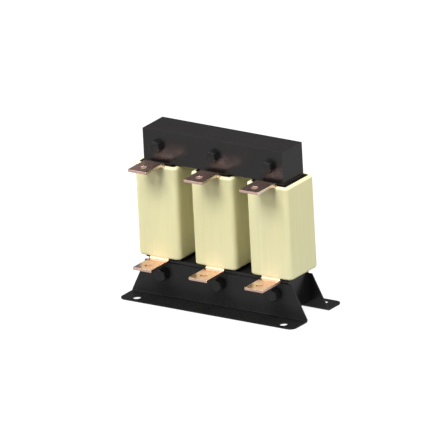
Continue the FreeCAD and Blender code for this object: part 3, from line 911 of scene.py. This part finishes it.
class REACTOR_OT_fasteners(bpy.types.Operator):
    """Model bolts, nuts and washers once and set them at each limb"""
    bl_idname = "reactor.fasteners"
    bl_label = "Fasteners"

    def execute(self, context):
        oxides = {
            "upper": black_oxide("black_oxide_upper", gain=1.0, specular=0.2),
            "lower": black_oxide("black_oxide_lower", gain=2.0, specular=0.2),
        }
        tube = sleeve_tube()
        washer = self.make_washer()
        nut = self.make_nut()
        for level in LEVELS:
            bolt = self.make_bolt(level)
            oxide = oxides[level]
            for side in SIDES:
                self.set_piece(bolt, f"{level}_bolt_{side}", "front", oxide)
                self.set_piece(nut, f"{level}_nut_{side}", "rear", oxide)
                self.set_piece(washer, f"{level}_front_washer_{side}", "front", oxide)
                self.set_piece(washer, f"{level}_rear_washer_{side}", "rear", oxide)
                finish_node(f"{level}_bolt_sleeve_{side}", tube)
            bpy.data.objects.remove(bolt)
        bpy.data.objects.remove(washer)
        bpy.data.objects.remove(nut)
        return {"FINISHED"}

    def set_piece(self, piece, node, face, material):
        """Stand a copy on the front or rear face, its outer end flush with the node's."""
        low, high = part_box(node)
        x = limb_middle(node.rsplit("_", 1)[1])
        z = (low.z + high.z) / 2
        top = max(vertex.co.z for vertex in piece.data.vertices)
        if face == "front":
            turned = LAID
            y = low.y + top
        else:
            turned = LAID.inverted()
            y = high.y - top
        twin = copy_piece(piece, f"{node}_turned", Matrix.Translation((x, y, z)) @ turned)
        finish_piece(twin, node, material)

    def hexagon(self, name, low, high):
        """Hexagonal prism with the corners of its upper end turned off."""
        corner = sizes().hex_flats / math.sqrt(3)
        prism = add_round(name, corner, low, high, vertices=6)
        prism.data.transform(Matrix.Rotation(HEXAGON_TURN, 4, "Z"))
        turned_radius = sizes().hex_flats * CORNER_RADIUS
        drop = (corner - turned_radius) * math.tan(CORNER_ANGLE)
        blank = add_round("blank", corner, low - PROUD, high - drop, vertices=64)
        edit(blank)
        pick_facing((0, 0, 1))
        grow(drop, turned_radius / corner)
        leave_edit()
        combine(prism, blank, "INTERSECT")
        return prism

    def make_bolt(self, level):
        """Hexagon head on its washer face, plain shank and a threaded end."""
        low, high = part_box(f"{level}_bolt_center")
        head = sizes().bolt_head
        length = high.y - low.y - head
        bolt = self.hexagon(f"{level}_bolt", sizes().washer_face, head)
        radius = sizes().bolt / 2
        face_radius = sizes().hex_flats * WASHER_FACE_RADIUS
        rod = add_round("rod", face_radius, 0, head / 2, vertices=32)
        edit(rod)
        pick_facing((0, 0, -1))
        grow(0, radius / face_radius)
        thread, pitch = sizes().thread_length, sizes().thread_pitch
        grow(thread - length)
        root = 1 - THREAD_DEPTH * pitch / radius
        # The last millimetre or more tapers off without a turn
        turns = int((thread - MM) / pitch)
        for _ in range(turns):
            grow(-pitch / 2, root)
            grow(-pitch / 2, 1 / root)
        grow(turns * pitch - thread, root)
        leave_edit()
        combine(bolt, rod, "UNION")
        soften(bolt, sizes().hex_edge, sharp=50)
        return bolt

    def make_nut(self):
        low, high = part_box("upper_nut_center")
        nut = self.hexagon("nut", 0, high.y - low.y)
        carve(nut, add_drill(sizes().bolt / 2 + NUT_PLAY))
        soften(nut, sizes().hex_edge, sharp=50)
        return nut

    def make_washer(self):
        low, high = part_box("upper_front_washer_center")
        washer = add_round("washer", (high.x - low.x) / 2, 0, high.y - low.y)
        carve(washer, add_drill(sizes().bolt / 2 + WASHER_PLAY))
        soften(washer, sizes().washer_edge)
        return washer


class REACTOR_OT_stage(bpy.types.Operator):
    """Set the pale floor, the soft lamps and the camera"""
    bl_idname = "reactor.stage"
    bl_label = "Stage"

    def execute(self, context):
        self.make_floor()
        self.make_world()
        self.make_flag()
        self.make_lamps()
        self.make_camera()
        context.scene.view_settings.view_transform = "Standard"
        return {"FINISHED"}

    def make_floor(self):
        bpy.ops.object.select_all(action="DESELECT")
        bpy.ops.mesh.primitive_circle_add(vertices=96, radius=FLOOR_RADIUS, fill_type="NGON")
        floor = start_piece("floor")
        recipe = Recipe("floor_white", roughness=0.9, specular=0.0)
        recipe.shader.inputs["Base Color"].default_value = FLOOR_GREY
        glow = recipe.nodes.new("ShaderNodeEmission")
        glow.inputs["Color"].default_value = WHITE
        shown = self.seen(recipe.material.node_tree, FLOOR_GLOW)
        recipe.link(shown, glow.inputs["Strength"])
        total = recipe.nodes.new("ShaderNodeAddShader")
        recipe.link(recipe.shader.outputs["BSDF"], total.inputs[0])
        recipe.link(glow.outputs["Emission"], total.inputs[1])
        recipe.link(total.outputs["Shader"], recipe.nodes["Material Output"].inputs["Surface"])
        floor.data.materials.append(recipe.material)

    def seen(self, tree, strength):
        """Strength on rays of camera, reflections and glass, none once a face scattered them."""
        def math_node(operation, *sources):
            node = tree.nodes.new("ShaderNodeMath")
            node.operation = operation
            for source, socket in zip(sources, node.inputs):
                if isinstance(source, bpy.types.NodeSocket):
                    tree.links.new(source, socket)
                else:
                    socket.default_value = source
            return node.outputs["Value"]

        rays = tree.nodes.new("ShaderNodeLightPath").outputs
        shown = rays["Is Camera Ray"]
        for name in ("Is Glossy Ray", "Is Transmission Ray"):
            shown = math_node("MAXIMUM", shown, rays[name])
        unscattered = math_node("LESS_THAN", rays["Diffuse Depth"], 0.5)
        return math_node("MULTIPLY", math_node("MULTIPLY", shown, strength), unscattered)

    def make_world(self):
        world = bpy.data.worlds.new("studio")
        world.use_nodes = True
        bpy.context.scene.world = world
        tree = world.node_tree
        shown = self.seen(tree, ROOM_GLOW)
        soft = tree.nodes["Background"]
        soft.inputs["Color"].default_value = WHITE
        soft.inputs["Strength"].default_value = ROOM_LIGHT
        white = tree.nodes.new("ShaderNodeBackground")
        white.inputs["Color"].default_value = WHITE
        blend = tree.nodes.new("ShaderNodeMixShader")
        tree.links.new(shown, blend.inputs["Fac"])
        tree.links.new(soft.outputs["Background"], blend.inputs[1])
        tree.links.new(white.outputs["Background"], blend.inputs[2])
        tree.links.new(blend.outputs["Shader"], tree.nodes["World Output"].inputs["Surface"])

    def seen_from(self, azimuth, elevation):
        """Direction out of the part, and the rotation that faces the part from there."""
        turn = math.radians(azimuth)
        rise = math.radians(elevation)
        direction = Vector((
            math.sin(turn) * math.cos(rise), -math.cos(turn) * math.cos(rise), math.sin(rise)))
        return direction, direction.to_track_quat("Z", "Y").to_euler()

    def make_flag(self):
        """Grey card high behind the part, that only glossy faces show."""
        direction, facing = self.seen_from(FLAG_AZIMUTH, FLAG_ELEVATION)
        bpy.ops.object.select_all(action="DESELECT")
        bpy.ops.mesh.primitive_plane_add(
            size=FLAG_SIZE, location=direction * FLAG_DISTANCE, rotation=facing)
        flag = start_piece("flag")
        flag.visible_camera = False
        flag.visible_diffuse = False
        flag.visible_shadow = False
        recipe = Recipe("flag_grey", roughness=1.0, specular=0.0)
        recipe.shader.inputs["Base Color"].default_value = BLACK
        recipe.shader.inputs["Emission Color"].default_value = WHITE
        recipe.shader.inputs["Emission Strength"].default_value = FLAG_GLOW
        flag.data.materials.append(recipe.material)

    def make_lamps(self):
        """A key lamp high in front, a top lamp, one at each side, a weak one low in front
        that shows in the varnish, and a faint one behind."""
        for lamp in LAMPS:
            direction, facing = self.seen_from(lamp.azimuth, lamp.elevation)
            bpy.ops.object.light_add(
                type="AREA", location=LAMP_AIM + direction * LAMP_DISTANCE, rotation=facing)
            light = bpy.context.object
            light.name = lamp.name
            light.data.size = lamp.size
            light.data.energy = lamp.level * (math.pi * LAMP_DISTANCE) ** 2

    def make_camera(self):
        turned = (
            Matrix.Rotation(math.radians(CAMERA_AZIMUTH), 4, "Z")
            @ Matrix.Rotation(QUARTER_TURN - math.radians(CAMERA_ELEVATION), 4, "X")
            @ Matrix.Rotation(math.radians(CAMERA_ROLL), 4, "Z"))
        data = bpy.data.cameras.new("camera")
        data.type = "ORTHO"
        data.ortho_scale = IMAGE_WIDTH / PIXELS_PER_METRE
        camera = bpy.data.objects.new("camera", data)
        place = CAMERA_AIM + turned.col[2].xyz * CAMERA_DISTANCE
        camera.matrix_world = Matrix.Translation(place) @ turned
        bpy.context.scene.collection.objects.link(camera)
        bpy.context.scene.camera = camera


class REACTOR_PT_panel(bpy.types.Panel):
    """Lists the steps and the values in the 3D view's sidebar"""
    bl_idname = "REACTOR_PT_panel"
    bl_label = "Line reactor"
    bl_space_type = "VIEW_3D"
    bl_region_type = "UI"
    bl_category = "Reactor"

    def draw(self, context):
        for step in STEPS:
            self.layout.operator(step.bl_idname)
        for group in (context.scene.reactor_sizes, context.scene.reactor_colours):
            box = self.layout.box()
            for name in group.__annotations__:
                box.prop(group, name)


STEPS = (
    REACTOR_OT_core,
    REACTOR_OT_coils,
    REACTOR_OT_terminals,
    REACTOR_OT_feet,
    REACTOR_OT_fasteners,
    REACTOR_OT_stage,
)
CLASSES = (ReactorSizes, ReactorColours, *STEPS, REACTOR_PT_panel)


def register():
    for item in CLASSES:
        bpy.utils.register_class(item)
    bpy.types.Scene.reactor_sizes = bpy.props.PointerProperty(type=ReactorSizes)
    bpy.types.Scene.reactor_colours = bpy.props.PointerProperty(type=ReactorColours)


def unregister():
    del bpy.types.Scene.reactor_colours
    del bpy.types.Scene.reactor_sizes
    for item in reversed(CLASSES):
        bpy.utils.unregister_class(item)


def main():
    register()
    bpy.ops.reactor.core()
    bpy.ops.reactor.coils()
    bpy.ops.reactor.terminals()
    bpy.ops.reactor.feet()
    bpy.ops.reactor.fasteners()
    bpy.ops.reactor.stage()


if __name__ == "__main__":
    main()
